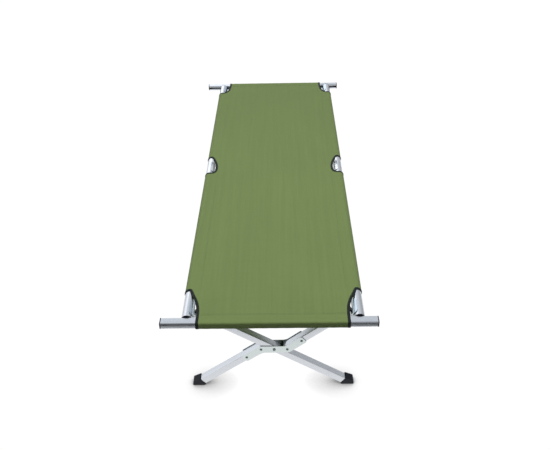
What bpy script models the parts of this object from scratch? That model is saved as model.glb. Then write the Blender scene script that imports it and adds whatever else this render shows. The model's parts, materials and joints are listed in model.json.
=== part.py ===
"""Folding camp cot: a taut cloth bed on two jointed side rails, three X legs and two end bars.

Units are metres and +Z is up. X runs across the cot and Y along it, with the foot end at -Y.
The origin is on the floor, under the middle of the cot's bounding box.
"""

import math

import bmesh
import bpy
from mathutils import Matrix, Vector

# ---- driving dimensions -------------------------------------------------------------------
GAP = 0.0003  # clearance between pieces that touch
FRAME_X = 0.013  # the end bars sit this far to the left of the frame's middle

RAIL_X = 0.2945  # rail axis, from the frame's middle
RAIL_Z = 0.401
RAIL_RADIUS = 0.019
RAIL_WALL = 0.0018
RAIL_END_Y = 0.9325
HINGE_Y = 0.060  # the rails fold in half about this line
HINGE_Z = 0.426
HINGE_SLIT = 0.0006

BAR_Y = 0.9515
BAR_Z = 0.4015
BAR_LENGTH = 0.740
BAR_DEPTH = 0.031
BAR_HEIGHT = 0.025
BAR_WALL = 0.002
BAR_CORNER = 0.006  # radius of the bar's outer long edges
BAR_SLOT = 0.011  # height of the slot that faces the rails
BAR_CAP = 0.003
PIN_RADIUS = 0.0045
PIN_TIP_Y = 0.955

LEG_TUBE = 0.028
LEG_WALL = 0.0015
LEG_CORNER = 0.0025
LEG_ENDS = {"front": -0.870, "mid": -0.005, "rear": 0.870}  # plane of each X, along Y
CROSS_Z = 0.196
TOP_X = 0.260  # top pivots of an X, from the frame's middle
TOP_Z = 0.375
TOP_OVERHANG = 0.009
SWING_Z = 0.364
SPLIT_X = 0.048  # inner rivets of the split leg, from the centre pivot
SPLIT_END = 0.008  # tube left past those rivets
OUTER_RIVET = 0.068  # outer rivets, from the inner ones
SPLIT_FOOT_X = 0.299  # where the split leg's middle line meets the floor
SOLE = 0.004  # plastic under a leg's end
CAP_WALL = 0.0025
TOE = 0.0162  # reach of a foot cap past the middle line of its leg

PLATE = 0.0025
DOGLEG_PLATE = 0.002
DOGLEG_WIDTH = 0.033
DOGLEG_GAP = 0.0004  # between a plate and the legs
RIVET_RADIUS = 0.003
RIVET_HEAD = 0.0046
HEAD_HEIGHT = 0.0015
PIVOT_RADIUS = 0.004  # of the centre pin

LUG_ANGLES = {"front": (18, 160), "mid": (64, 160), "rear": (18, 160)}
LUG_REACH = {"front": (0.052, 0.018), "mid": (0.0132, 0.048), "rear": (0.018, 0.052)}
TAB_INWARD = 0.0065  # near face of the tab under the rail, inward of the rail's axis
TAB_TOP_Z = 0.382
TAB_RADIUS = 0.0115

HINGE_ANGLES = (12, 60)  # where the leaves lie, from the top of the rail
LEAF_LENGTH = {-1: 0.062, 1: 0.046}  # the front leaf is the longer one
EAR_RADIUS = 0.005
HINGE_PIN = 0.0025

CLOTH = 0.0012
CLOTH_X = RAIL_X - 0.0075  # a bed panel's long edge, from the frame's middle
CUT_X = 0.260  # the cloth's edge at an end bar, from the frame's middle
MID_CUT_X = 0.268
MID_FOLD_X = 0.276  # and at the fold line
FRONT_CUT_Y = -0.8085  # where the cut-outs meet the rails
MID_CUT_Y = (-0.0195, 0.1165)
REAR_CUT_Y = 0.830
NEAR_CURVE = 0.030  # length along the rail of a cut-out's round near end
FAR_CURVE = 0.110  # and of its long slanting far end
REAR_CURVE = 0.085  # near end of the rear cut-outs
STITCH_Y = 0.930  # the seam that closes each end sleeve
SLOPE_Y = 0.840  # from here the cloth dips to the end bars

ROUND = 10  # sides of a pin or a hole
TUBE_SIDES = 32

# ---- materials ----------------------------------------------------------------------------
MATERIALS = {
    "aluminium": ((0.72, 0.74, 0.77, 1.0), 0.32, 1.0),
    "zinc_steel": ((0.60, 0.66, 0.68, 1.0), 0.35, 1.0),
    "black_plastic": ((0.02, 0.02, 0.03, 1.0), 0.55, 0.0),
    "green_cloth": ((0.18, 0.24, 0.10, 1.0), 0.90, 0.0),
}


def make_material(name):
    """A plain Principled material from its colour, roughness and metallic value."""
    colour, roughness, metallic = MATERIALS[name]
    material = bpy.data.materials.new(name)
    material.use_nodes = True
    material.diffuse_color = colour
    shader = material.node_tree.nodes["Principled BSDF"]
    shader.inputs["Base Color"].default_value = colour
    shader.inputs["Roughness"].default_value = roughness
    shader.inputs["Metallic"].default_value = metallic
    return material


# ---- outlines -----------------------------------------------------------------------------
def arc(centre, radius, start, end, steps):
    """Points on an arc, in degrees, both ends included."""
    angles = [math.radians(start + (end - start) * i / steps) for i in range(steps + 1)]
    return [(centre[0] + radius * math.cos(a), centre[1] + radius * math.sin(a)) for a in angles]


def circle(centre, radius, sides):
    return arc(centre, radius, 0, 360, sides)[:-1]


def rounded(corners, steps=4):
    """An outline from (x, y, radius) corners, each filleted with its own radius."""
    outline = []
    for i, (x, y, radius) in enumerate(corners):
        here = Vector((x, y))
        if not radius:
            outline.append((x, y))
            continue
        before = Vector(corners[i - 1][:2]) - here
        after = Vector(corners[(i + 1) % len(corners)][:2]) - here
        half = before.angle(after) / 2
        reach = radius / math.tan(half)
        start = here + before.normalized() * reach
        end = here + after.normalized() * reach
        middle = (before.normalized() + after.normalized()).normalized()
        centre = here + middle * radius / math.sin(half)
        a = math.atan2(*(start - centre).yx)
        turn = (math.atan2(*(end - centre).yx) - a + math.pi) % (2 * math.pi) - math.pi
        for k in range(steps + 1):
            b = a + turn * k / steps
            outline.append((centre.x + radius * math.cos(b), centre.y + radius * math.sin(b)))
    return outline


def box_outline(x0, x1, y0, y1, radius=0.0, steps=3):
    return rounded([(x0, y0, radius), (x1, y0, radius), (x1, y1, radius), (x0, y1, radius)], steps)


# ---- solids -------------------------------------------------------------------------------
AXES = {  # where an outline's two coordinates and its extrusion go
    "x": lambda a, b, t: (t, a, b),
    "y": lambda a, b, t: (a, t, b),
    "z": lambda a, b, t: (a, b, t),
}


def solid(name, verts, faces):
    """A closed mesh object with its faces pointing out."""
    mesh = bpy.data.meshes.new(name)
    mesh.from_pydata(verts, [], faces)
    shape = bmesh.new()
    shape.from_mesh(mesh)
    bmesh.ops.recalc_face_normals(shape, faces=shape.faces)
    shape.to_mesh(mesh)
    shape.free()
    obj = bpy.data.objects.new(name, mesh)
    bpy.context.collection.objects.link(obj)
    return obj


def prism(name, outline, axis, start, end):
    """An outline extruded along one axis. Its coordinates are the other two, in order."""
    put, n = AXES[axis], len(outline)
    verts = [put(a, b, start) for a, b in outline] + [put(a, b, end) for a, b in outline]
    sides = [(i, (i + 1) % n, n + (i + 1) % n, n + i) for i in range(n)]
    return solid(name, verts, [tuple(range(n)), tuple(range(n, 2 * n)), *sides])


def hollow_prism(name, outer, inner, axis, start, end):
    """A tube between two outlines with the same number of points, open at both ends."""
    put, n = AXES[axis], len(outer)
    loops = ((outer, start), (outer, end), (inner, end), (inner, start))
    verts = [put(a, b, t) for outline, t in loops for a, b in outline]
    faces = []
    for k in range(4):
        for i in range(n):
            j, m = (i + 1) % n, (k + 1) % 4
            faces.append((k * n + i, k * n + j, m * n + j, m * n + i))
    return solid(name, verts, faces)


def turned(name, profile, axis, centre, sides=ROUND):
    """A round solid on an axis, from (distance along it, radius) pairs."""
    put = AXES[axis]
    verts, faces = [], []
    for along, radius in profile:
        ring = circle((0, 0), radius, sides)
        verts += [put(centre[0] + a, centre[1] + b, along) for a, b in ring]
    for k in range(len(profile) - 1):
        for i in range(sides):
            j = (i + 1) % sides
            faces.append((k * sides + i, k * sides + j, (k + 1) * sides + j, (k + 1) * sides + i))
    last = (len(profile) - 1) * sides
    faces += [tuple(range(sides)), tuple(range(last, last + sides))]
    return solid(name, verts, faces)


def pin(name, axis, centre, start, end, radius):
    return turned(name, [(start, radius), (end, radius)], axis, centre)


def rivet(name, axis, centre, start, end, radius=RIVET_RADIUS, head=RIVET_HEAD):
    """A pin with a head past each end of the stack that it holds."""
    profile = [
        (start - HEAD_HEIGHT, head),
        (start, head),
        (start, radius),
        (end, radius),
        (end, head),
        (end + HEAD_HEIGHT, head),
    ]
    return turned(name, profile, axis, centre)


def combine(base, tool, operation):
    """Apply a Boolean between two solids and drop the second one."""
    modifier = base.modifiers.new("combine", "BOOLEAN")
    modifier.operation = operation
    modifier.solver = "EXACT"
    modifier.object = tool
    graph = bpy.context.evaluated_depsgraph_get()
    mesh = bpy.data.meshes.new_from_object(base.evaluated_get(graph))
    base.modifiers.clear()
    mesh.name = base.name
    base.data = mesh
    bpy.data.objects.remove(tool)
    return base


def add(base, *tools):
    for tool in tools:
        combine(base, tool, "UNION")
    return base


def cut(base, *tools):
    for tool in tools:
        combine(base, tool, "DIFFERENCE")
    return base


# ---- the mechanism's bodies ---------------------------------------------------------------
def body(name, pivot, parent=None):
    """An empty on a moving body's joint axis."""
    empty = bpy.data.objects.new(name, None)
    bpy.context.collection.objects.link(empty)
    empty.empty_display_size = 0.02
    empty.location = Vector(pivot)
    if parent:
        empty.parent = parent
        empty.location -= world_of(parent)
    return empty


def world_of(empty):
    place = Vector(empty.location)
    while empty.parent:
        empty = empty.parent
        place += empty.location
    return place


def place(obj, holder, material, smooth=0.0):
    """Give a solid its material and hand it to its body, with its origin on the joint axis."""
    obj.data.transform(Matrix.Translation(-world_of(holder)))
    obj.parent = holder
    obj.data.materials.clear()
    obj.data.materials.append(material)
    if smooth:
        obj.data.shade_smooth()
        obj.data.set_sharp_from_angle(angle=math.radians(smooth))
    return obj


def inward(side, distance):
    """The x of a point this far inward of a rail's axis, on the left (-1) or right (1) rail."""
    return FRAME_X + side * (RAIL_X - distance)


# ---- rails --------------------------------------------------------------------------------
def make_rail(name, side, start, end):
    middle = (inward(side, 0), RAIL_Z)
    outer = circle(middle, RAIL_RADIUS, TUBE_SIDES)
    inner = circle(middle, RAIL_RADIUS - RAIL_WALL, TUBE_SIDES)
    return hollow_prism(name, outer, inner, "y", start, end)


def make_rail_plug(name, side, end):
    """The plastic plug in a rail's end, with the pin that the end bar sits on."""
    spigot = RAIL_RADIUS - RAIL_WALL - GAP
    profile = [
        (end * (RAIL_END_Y - 0.020), spigot),
        (end * (RAIL_END_Y + GAP), spigot),
        (end * (RAIL_END_Y + GAP), RAIL_RADIUS),
        (end * (BAR_Y - BAR_DEPTH / 2 - 0.0005), RAIL_RADIUS),
        (end * (BAR_Y - BAR_DEPTH / 2 - 0.0005), PIN_RADIUS),
        (end * (PIN_TIP_Y - 0.001), PIN_RADIUS),
        (end * PIN_TIP_Y, PIN_RADIUS - 0.001),
    ]
    return turned(name, profile, "y", (inward(side, 0), RAIL_Z), 20)


def wrapped_plate(name, outline, side, start_angle, strips):
    """A plate bent round a rail's inner side.

    The flat outline is (distance round the rail from start_angle, y), and angles are in degrees
    from the top of the rail.
    """
    inside = RAIL_RADIUS + GAP
    length = max(u for u, _ in outline)
    shape = bmesh.new()
    face = shape.faces.new([shape.verts.new((u, y, 0)) for u, y in outline])
    bmesh.ops.triangulate(shape, faces=[face])
    for i in range(1, strips):
        geometry = shape.verts[:] + shape.edges[:] + shape.faces[:]
        at = Vector((length * i / strips, 0, 0))
        bmesh.ops.bisect_plane(shape, geom=geometry, plane_co=at, plane_no=(1, 0, 0), dist=1e-6)
    grown = bmesh.ops.extrude_face_region(shape, geom=shape.faces[:])["geom"]
    for v in [g for g in grown if isinstance(g, bmesh.types.BMVert)]:
        v.co.z = PLATE
    for v in shape.verts:
        u, y, thickness = v.co
        radius = inside + thickness
        turn = math.radians(start_angle) + u / inside
        v.co = (inward(side, radius * math.sin(turn)), y, RAIL_Z + radius * math.cos(turn))
    bmesh.ops.triangulate(shape, faces=shape.faces)
    bmesh.ops.recalc_face_normals(shape, faces=shape.faces)
    mesh = bpy.data.meshes.new(name)
    shape.to_mesh(mesh)
    shape.free()
    obj = bpy.data.objects.new(name, mesh)
    bpy.context.collection.objects.link(obj)
    return obj


def make_lug(name, side, where):
    """The steel plate wrapped round a rail's inner side, with the tab that an X swings on."""
    leg_y = LEG_ENDS[where]
    back, ahead = LUG_REACH[where]
    start, stop = LUG_ANGLES[where]
    bend = (RAIL_RADIUS + GAP) * math.radians(1)
    waist, low = bend * (100 - start), bend * (stop - start)
    top = 0.003 if where == "mid" else 0.012
    outline = rounded(
        [
            (0, leg_y - back, top),
            (0, leg_y + ahead, top),
            (waist, leg_y + ahead, 0.006),
            (waist + 0.005, leg_y + 0.013, 0.003),
            (low, leg_y + 0.013, 0.002),
            (low, leg_y - 0.013, 0.002),
            (waist + 0.005, leg_y - 0.013, 0.003),
            (waist, leg_y - back, 0.006),
        ],
        3,
    )
    plate = wrapped_plate(name, outline, side, start, (stop - start) // 14)
    tab = arc((leg_y, SWING_Z), TAB_RADIUS, 180, 360, 8)
    tab += [(leg_y + TAB_RADIUS, TAB_TOP_Z), (leg_y - TAB_RADIUS, TAB_TOP_Z)]
    faces = sorted((inward(side, TAB_INWARD), inward(side, TAB_INWARD + PLATE)))
    add(plate, prism("tab", tab, "x", *faces))
    hole = pin("hole", "x", (leg_y, SWING_Z), faces[0] - 0.001, faces[1] + 0.001, RIVET_RADIUS + GAP)
    return cut(plate, hole)


# ---- fold-in-half hinge -------------------------------------------------------------------


def make_ear(side, end, near, far, bottom):
    """One upright ear of a hinge leaf, from the leaf's strip up to the hinge pin."""
    tip = arc((HINGE_Y, HINGE_Z), EAR_RADIUS, 90 - end * 30, 90 + end * 170, 10)
    root, foot = (HINGE_Y + end * reach for reach in (0.0055, 0.024))
    outline = [*tip, (root, RAIL_Z + bottom), (foot, RAIL_Z + bottom)]
    ends = sorted((inward(side, near), inward(side, far)))
    return prism("ear", outline, "x", *ends)


def make_leaf(name, side, end):
    """A hinge leaf. The front one (-1) has one ear, and the rear one (1) has two and the pin."""
    start, stop = HINGE_ANGLES
    width = (RAIL_RADIUS + GAP) * math.radians(stop - start)
    root, tip = HINGE_Y + end * 0.0045, HINGE_Y + end * LEAF_LENGTH[end]
    outline = rounded([(0, root, 0.001), (width, root, 0.001), (width, tip, 0.006), (0, tip, 0.006)])
    leaf = wrapped_plate(name, outline, side, start, 5)
    if end < 0:
        hole = pin("hole", "x", (HINGE_Y, HINGE_Z), *sorted((inward(side, 0), inward(side, 0.02))),
                   HINGE_PIN + GAP)
        return cut(add(leaf, make_ear(side, end, 0.0083, 0.0113, 0.0180)), hole)
    add(leaf, make_ear(side, end, 0.0048, 0.0078, 0.0196))
    add(leaf, make_ear(side, end, 0.0118, 0.0148, 0.0156))
    ends = sorted((inward(side, 0.0034), inward(side, 0.0162)))
    return add(leaf, pin("pin", "x", (HINGE_Y, HINGE_Z), *ends, HINGE_PIN))


# ---- X legs -------------------------------------------------------------------------------
def leg_points(side):
    """An X leg's named points in its plane, (x, z): the straight leg's for -1, the split one's for 1."""
    cross = Vector((FRAME_X, CROSS_Z))
    straight_foot_x = CROSS_Z * TOP_X / (TOP_Z - CROSS_Z)
    foot_x = SPLIT_FOOT_X if side > 0 else straight_foot_x
    return {
        "cross": cross,
        "top": Vector((FRAME_X + side * TOP_X, TOP_Z)),
        "foot": Vector((FRAME_X - side * foot_x, 0.0)),
        "inner_top": cross + Vector((side * SPLIT_X, 0)),
        "inner_foot": cross - Vector((side * SPLIT_X, 0)),
    }


def square_tube(name, start, end, leg_y):
    """A hollow square tube between two points of an X's plane."""
    half, hollow = LEG_TUBE / 2, LEG_TUBE / 2 - LEG_WALL
    outer = box_outline(-half, half, -half, half, LEG_CORNER, 2)
    inner = box_outline(-hollow, hollow, -hollow, hollow, LEG_CORNER - LEG_WALL, 2)
    run = end - start
    tube = hollow_prism(name, outer, inner, "x", 0, run.length)
    turn = Matrix.Rotation(-math.atan2(run.y, run.x), 4, "Y")
    tube.data.transform(Matrix.Translation((start.x, leg_y, start.y)) @ turn)
    return tube


def cross_holes(tube, leg_y, spots):
    """Holes along Y through a leg, from (point, radius) pairs."""
    half = LEG_TUBE / 2 + 0.002
    for point, radius in spots:
        cut(tube, pin("hole", "y", tuple(point), leg_y - half, leg_y + half, radius + GAP))
    return tube


def level_end(obj, height):
    """Cut a leg off level at a height and close the cut, hollow or solid."""
    shape = bmesh.new()
    shape.from_mesh(obj.data)
    geometry = shape.verts[:] + shape.edges[:] + shape.faces[:]
    spot, up = Vector((0, 0, height)), Vector((0, 0, 1))
    bmesh.ops.bisect_plane(shape, geom=geometry, plane_co=spot, plane_no=up, clear_inner=True)
    rim = [e for e in shape.edges if e.is_boundary]
    corners = {v for e in rim for v in e.verts}
    start = rim[0].verts[0]
    loop, queue = {start}, [start]
    while queue:
        for edge in queue.pop().link_edges:
            for v in edge.verts:
                if edge.is_boundary and v not in loop:
                    loop.add(v)
                    queue.append(v)
    if len(loop) == len(corners):
        bmesh.ops.edgeloop_fill(shape, edges=rim)
    else:
        bmesh.ops.bridge_loops(shape, edges=rim)
    bmesh.ops.recalc_face_normals(shape, faces=shape.faces)
    shape.to_mesh(obj.data)
    shape.free()
    return obj


def past(point, towards, distance):
    return point + (point - towards).normalized() * distance


def make_straight_leg(name, where):
    points, leg_y = leg_points(-1), LEG_ENDS[where]
    top = past(points["top"], points["cross"], TOP_OVERHANG)
    tube = level_end(square_tube(name, top, past(points["foot"], top, 0.02), leg_y), SOLE)
    return cross_holes(tube, leg_y, [(points["top"], RIVET_RADIUS), (points["cross"], PIVOT_RADIUS)])


def make_upper_arm(name, where):
    points, leg_y = leg_points(1), LEG_ENDS[where]
    start, top = points["inner_top"], points["top"]
    tube = square_tube(name, past(start, top, SPLIT_END), past(top, start, TOP_OVERHANG), leg_y)
    outer = past(start, top, -OUTER_RIVET)
    return cross_holes(tube, leg_y, [(p, RIVET_RADIUS) for p in (start, outer, top)])


def make_lower_arm(name, where):
    points, leg_y = leg_points(1), LEG_ENDS[where]
    start, foot = points["inner_foot"], points["foot"]
    tube = square_tube(name, past(start, foot, SPLIT_END), past(foot, start, 0.02), leg_y)
    level_end(tube, SOLE)
    outer = past(start, foot, -OUTER_RIVET)
    return cross_holes(tube, leg_y, [(p, RIVET_RADIUS) for p in (start, outer)])


def dogleg_outline(points):
    """The bent plate's outline: a band round the outer, inner, centre, inner, outer rivets."""
    half, tail = DOGLEG_WIDTH / 2, 0.012
    low = past(points["inner_foot"], points["foot"], -OUTER_RIVET - tail)
    high = past(points["inner_top"], points["top"], -OUTER_RIVET - tail)
    line = [low, points["inner_foot"], points["inner_top"], high]
    sides = []
    for sign in (1, -1):
        run = []
        for i, point in enumerate(line):
            before = (point - line[max(i - 1, 0)]).normalized()
            after = (line[min(i + 1, 3)] - point).normalized()
            middle = (before + after).normalized()
            reach = half / (middle.dot(after) or middle.dot(before))
            normal = Vector((-middle.y, middle.x)) * sign
            radius = 0.006 if i in (0, 3) else 0.030
            spot = point + normal * reach
            run.append((spot.x, spot.y, radius))
        sides.append(run)
    return rounded(sides[0] + sides[1][::-1], 4)


def make_dogleg(name, where):
    """The front and back bent plates that carry the split leg past the straight one."""
    points, leg_y = leg_points(1), LEG_ENDS[where]
    outline = dogleg_outline(points)
    near = LEG_TUBE / 2 + DOGLEG_GAP
    far = near + DOGLEG_PLATE
    spots = [
        points["inner_foot"],
        points["inner_top"],
        past(points["inner_foot"], points["foot"], -OUTER_RIVET),
        past(points["inner_top"], points["top"], -OUTER_RIVET),
    ]
    plates = prism(name, outline, "y", leg_y - far, leg_y - near)
    for i, spot in enumerate(spots):
        add(plates, rivet("rivet", "y", tuple(spot), leg_y - far, leg_y + far))
        if not i:
            add(plates, prism("back", outline, "y", leg_y + near, leg_y + far))
    hole = pin("hole", "y", tuple(points["cross"]), leg_y - 0.03, leg_y + 0.03, PIVOT_RADIUS + GAP)
    return cut(plates, hole)


def make_centre_pin(name, where):
    points, leg_y = leg_points(1), LEG_ENDS[where]
    reach = LEG_TUBE / 2 + DOGLEG_GAP + DOGLEG_PLATE + GAP
    centre = tuple(points["cross"])
    return rivet(name, "y", centre, leg_y - reach, leg_y + reach, PIVOT_RADIUS, 0.0055)


def make_foot(name, leg, where):
    """A plastic cap with a flat sole, on the straight (-1) or the split (1) leg's foot."""
    leg_y, points = LEG_ENDS[where], leg_points(leg)
    foot, start = points["foot"], points["cross"] if leg < 0 else points["inner_foot"]
    run = (foot - start).normalized()
    out = 1 if run.x > 0 else -1
    across = Vector((-run.y * out, abs(run.x)))
    half = LEG_TUBE / 2 + CAP_WALL
    collar = foot - run * 0.030
    low = collar - across * half
    floor = low - run * (low.y / run.y)
    toe = foot.x + out * TOE
    corners = [
        (*(collar + across * half), 0.002),
        (toe - out * 0.001, 0.016, 0.006),
        (toe, 0.0, 0.005),
        (floor.x, 0.0, 0.001),
        (*low, 0.001),
    ]
    wide = half - 0.0005
    cap = prism(name, rounded(corners, 3), "y", leg_y - wide, leg_y + wide)
    reach = LEG_TUBE / 2 + GAP
    socket = prism("socket", box_outline(-reach, reach, -reach, reach, LEG_CORNER, 2), "x", 0, 0.08)
    back = foot + run * 0.02
    turn = Matrix.Rotation(-math.atan2(-run.y, -run.x), 4, "Y")
    socket.data.transform(Matrix.Translation((back.x, leg_y, back.y)) @ turn)
    return cut(cap, level_end(socket, SOLE - GAP))


# ---- swivels ------------------------------------------------------------------------------
def make_swivel(name, side, where):
    """The U-shaped clevis between a rail's lug and the top of a leg."""
    leg_y = LEG_ENDS[where]
    back = TAB_INWARD + PLATE + 0.0004
    web = back + PLATE
    reach = RAIL_X - TOP_X
    near = LEG_TUBE / 2 + 0.0006
    far = near + 0.002
    low, high = SWING_Z - 0.011, TOP_Z + 0.0125
    u_shape = [
        (back, -far),
        (reach + 0.0125, -far),
        (reach + 0.0125, -near),
        (web, -near),
        (web, near),
        (reach + 0.0125, near),
        (reach + 0.0125, far),
        (back, far),
    ]
    channel = prism(name, [(inward(side, s), leg_y + y) for s, y in u_shape], "z", low, high)
    ear = [(back - 0.001, low - 0.001), (back - 0.001, SWING_Z + 0.006), (0.0215, SWING_Z + 0.006)]
    ear += [(0.0240, TOP_Z + 0.009)] + arc((reach, TOP_Z), 0.012, 100, -60, 8)
    ear += [(reach - 0.006, low - 0.001)]
    side_cut = prism("ears", [(inward(side, s), z) for s, z in ear], "y", leg_y - 0.03, leg_y + 0.03)
    combine(channel, side_cut, "INTERSECT")
    add(channel, rivet("rivet", "y", (inward(side, reach), TOP_Z), leg_y - far, leg_y + far))
    profile = [
        (inward(side, web - 0.0005), RIVET_RADIUS),
        (inward(side, TAB_INWARD - GAP), RIVET_RADIUS),
        (inward(side, TAB_INWARD - GAP), RIVET_HEAD),
        (inward(side, TAB_INWARD - GAP - HEAD_HEIGHT), RIVET_HEAD),
    ]
    return add(channel, turned("swing pin", profile, "x", (leg_y, SWING_Z)))


# ---- end bars -----------------------------------------------------------------------------
def make_bar(name, end):
    """An end bar: an aluminium channel with its slot towards the rails."""
    middle, deep, tall = end * BAR_Y, BAR_DEPTH / 2, BAR_HEIGHT / 2
    inner, slot = tall - BAR_WALL, BAR_SLOT / 2
    outline = [
        (deep, slot, 0),
        (deep, tall, 0.0025),
        (-deep, tall, BAR_CORNER),
        (-deep, -tall, BAR_CORNER),
        (deep, -tall, 0.0025),
        (deep, -slot, 0),
        (deep - BAR_WALL, -slot, 0),
        (deep - BAR_WALL, -inner, 0),
        (-deep + BAR_WALL, -inner, BAR_CORNER - BAR_WALL),
        (-deep + BAR_WALL, inner, BAR_CORNER - BAR_WALL),
        (deep - BAR_WALL, inner, 0),
        (deep - BAR_WALL, slot, 0),
    ]
    points = [(middle - end * y, BAR_Z + z) for y, z in rounded(outline, 4)]
    reach = BAR_LENGTH / 2 - BAR_CAP - GAP
    return prism(name, points, "x", -reach, reach)


def bar_outline(end, grow, inner_radius):
    """The end bar's outline in (y, z), grown all round, with its own outer corners."""
    deep, tall = BAR_DEPTH / 2 + grow, BAR_HEIGHT / 2 + grow
    corners = [
        (-deep, -tall, inner_radius),
        (deep, -tall, BAR_CORNER + grow),
        (deep, tall, BAR_CORNER + grow),
        (-deep, tall, inner_radius),
    ]
    return [(end * (BAR_Y + y), BAR_Z + z) for y, z in rounded(corners, 4)]


def make_bar_cap(name, side, end):
    flange = bar_outline(end, 0.0004, 0.003)
    outer, inner = side * BAR_LENGTH / 2, side * (BAR_LENGTH / 2 - BAR_CAP)
    cap = prism(name, flange, "x", *sorted((outer, inner)))
    stub = bar_outline(end, -BAR_WALL - GAP, 0.0004)
    ends = sorted((inner + side * 0.001, inner - side * 0.012))
    return add(cap, prism("stub", stub, "x", *ends))


# ---- cloth --------------------------------------------------------------------------------
def near_end(narrow, cut_y, length=NEAR_CURVE):
    """A cut-out's end on its -Y side: a quarter ellipse from the rail to the inner edge."""
    angles = [math.radians(90 * i / 6) for i in range(7)]
    reach = CLOTH_X - narrow
    return [(CLOTH_X - reach * math.sin(a), cut_y + length * (1 - math.cos(a))) for a in angles]


def far_end(narrow, cut_y, length=FAR_CURVE):
    """A cut-out's end on its +Y side: a shallow arc from the inner edge out to the rail."""
    steps = [i / 8 for i in range(9)]
    return [(narrow + (CLOTH_X - narrow) * t * t, cut_y - length * (1 - t)) for t in steps]


def front_edge(sign):
    """A long edge of the front panel, from the end bar to the fold line."""
    edge = [(CUT_X, -STITCH_Y), *far_end(CUT_X, FRONT_CUT_Y), *near_end(MID_CUT_X, MID_CUT_Y[0])]
    edge.append((MID_FOLD_X, HINGE_Y - HINGE_SLIT / 2))
    return [(FRAME_X + sign * x, y) for x, y in edge]


def rear_edge(sign):
    """A long edge of the rear panel, from the fold line to the end bar."""
    start = HINGE_Y + HINGE_SLIT / 2
    edge = [(MID_FOLD_X, start)]
    edge += [point for point in far_end(MID_CUT_X, MID_CUT_Y[1]) if point[1] > start + 0.003]
    edge += [*near_end(CUT_X, REAR_CUT_Y, REAR_CURVE), (CUT_X, STITCH_Y)]
    return [(FRAME_X + sign * x, y) for x, y in edge]


def make_panel(name, edge):
    """One half of the bed cloth, taut from rail to rail, dipping to the end bar."""
    low = RAIL_Z + RAIL_RADIUS + GAP
    panel = prism(name, edge(1) + edge(-1)[::-1], "z", low, low + CLOTH)
    shape = bmesh.new()
    shape.from_mesh(panel.data)
    for sign in (-1, 1):
        geometry = shape.verts[:] + shape.edges[:] + shape.faces[:]
        at = Vector((0, sign * SLOPE_Y, 0))
        bmesh.ops.bisect_plane(shape, geom=geometry, plane_co=at, plane_no=(0, 1, 0), dist=1e-6)
    drop = low - (BAR_Z + BAR_HEIGHT / 2 + GAP)
    for v in shape.verts:
        v.co.z -= drop * max(abs(v.co.y) - SLOPE_Y, 0) / (STITCH_Y - SLOPE_Y)
    shape.to_mesh(panel.data)
    shape.free()
    return panel


def make_rail_sleeve(name, side, start, end):
    middle = (inward(side, 0), RAIL_Z)
    inner = circle(middle, RAIL_RADIUS + GAP, TUBE_SIDES)
    outer = circle(middle, RAIL_RADIUS + GAP + CLOTH, TUBE_SIDES)
    return hollow_prism(name, outer, inner, "y", start, end)


def make_end_sleeve(name, end):
    """The cloth tube round an end bar, with a short tail to the seam."""
    reach = CUT_X
    inner = bar_outline(end, GAP, 0.0025)
    outer = bar_outline(end, GAP + CLOTH, 0.0035)
    sleeve = hollow_prism(name, outer, inner, "x", FRAME_X - reach, FRAME_X + reach)
    top = BAR_Z + BAR_HEIGHT / 2 + GAP + CLOTH
    back = end * (BAR_Y - BAR_DEPTH / 2 + 0.005)
    seam = end * (STITCH_Y + GAP)
    tail = [(back, top), (seam, top), (seam, top - CLOTH), (back, top - CLOTH)]
    tail = [(y, z - 0.0001) for y, z in tail]
    return add(sleeve, prism("tail", tail, "x", FRAME_X - reach, FRAME_X + reach))


# ---- assembly -----------------------------------------------------------------------------
def build_x(where, left_rail, materials):
    """One X leg set, from its left swivel across to its right one. Returns the right swivel."""
    leg_y = LEG_ENDS[where]
    tops = {side: (FRAME_X + side * TOP_X, leg_y, TOP_Z) for side in (-1, 1)}
    metal, steel, plastic = (materials[n] for n in ("aluminium", "zinc_steel", "black_plastic"))
    swing_left = body(f"pivot_swing_{where}_left", (inward(-1, 0), leg_y, SWING_Z), left_rail)
    straight = body(f"pivot_leg_{where}_straight", tops[-1], swing_left)
    split = body(f"pivot_leg_{where}_split", (FRAME_X, leg_y, CROSS_Z), straight)
    swing_right = body(f"pivot_swing_{where}_right", tops[1], split)
    place(make_swivel(f"swivel_{where}_left", -1, where), swing_left, steel, 35)
    place(make_straight_leg(f"leg_{where}_straight", where), straight, metal, 35)
    place(make_centre_pin(f"centre_pin_{where}", where), straight, steel, 35)
    place(make_foot(f"foot_{where}_right", -1, where), straight, plastic)
    place(make_dogleg(f"dogleg_plates_{where}", where), split, steel, 35)
    place(make_upper_arm(f"leg_{where}_upper_arm", where), split, metal, 35)
    place(make_lower_arm(f"leg_{where}_lower_arm", where), split, metal, 35)
    place(make_foot(f"foot_{where}_left", 1, where), split, plastic)
    place(make_swivel(f"swivel_{where}_right", 1, where), swing_right, steel, 35)
    return swing_right


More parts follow.
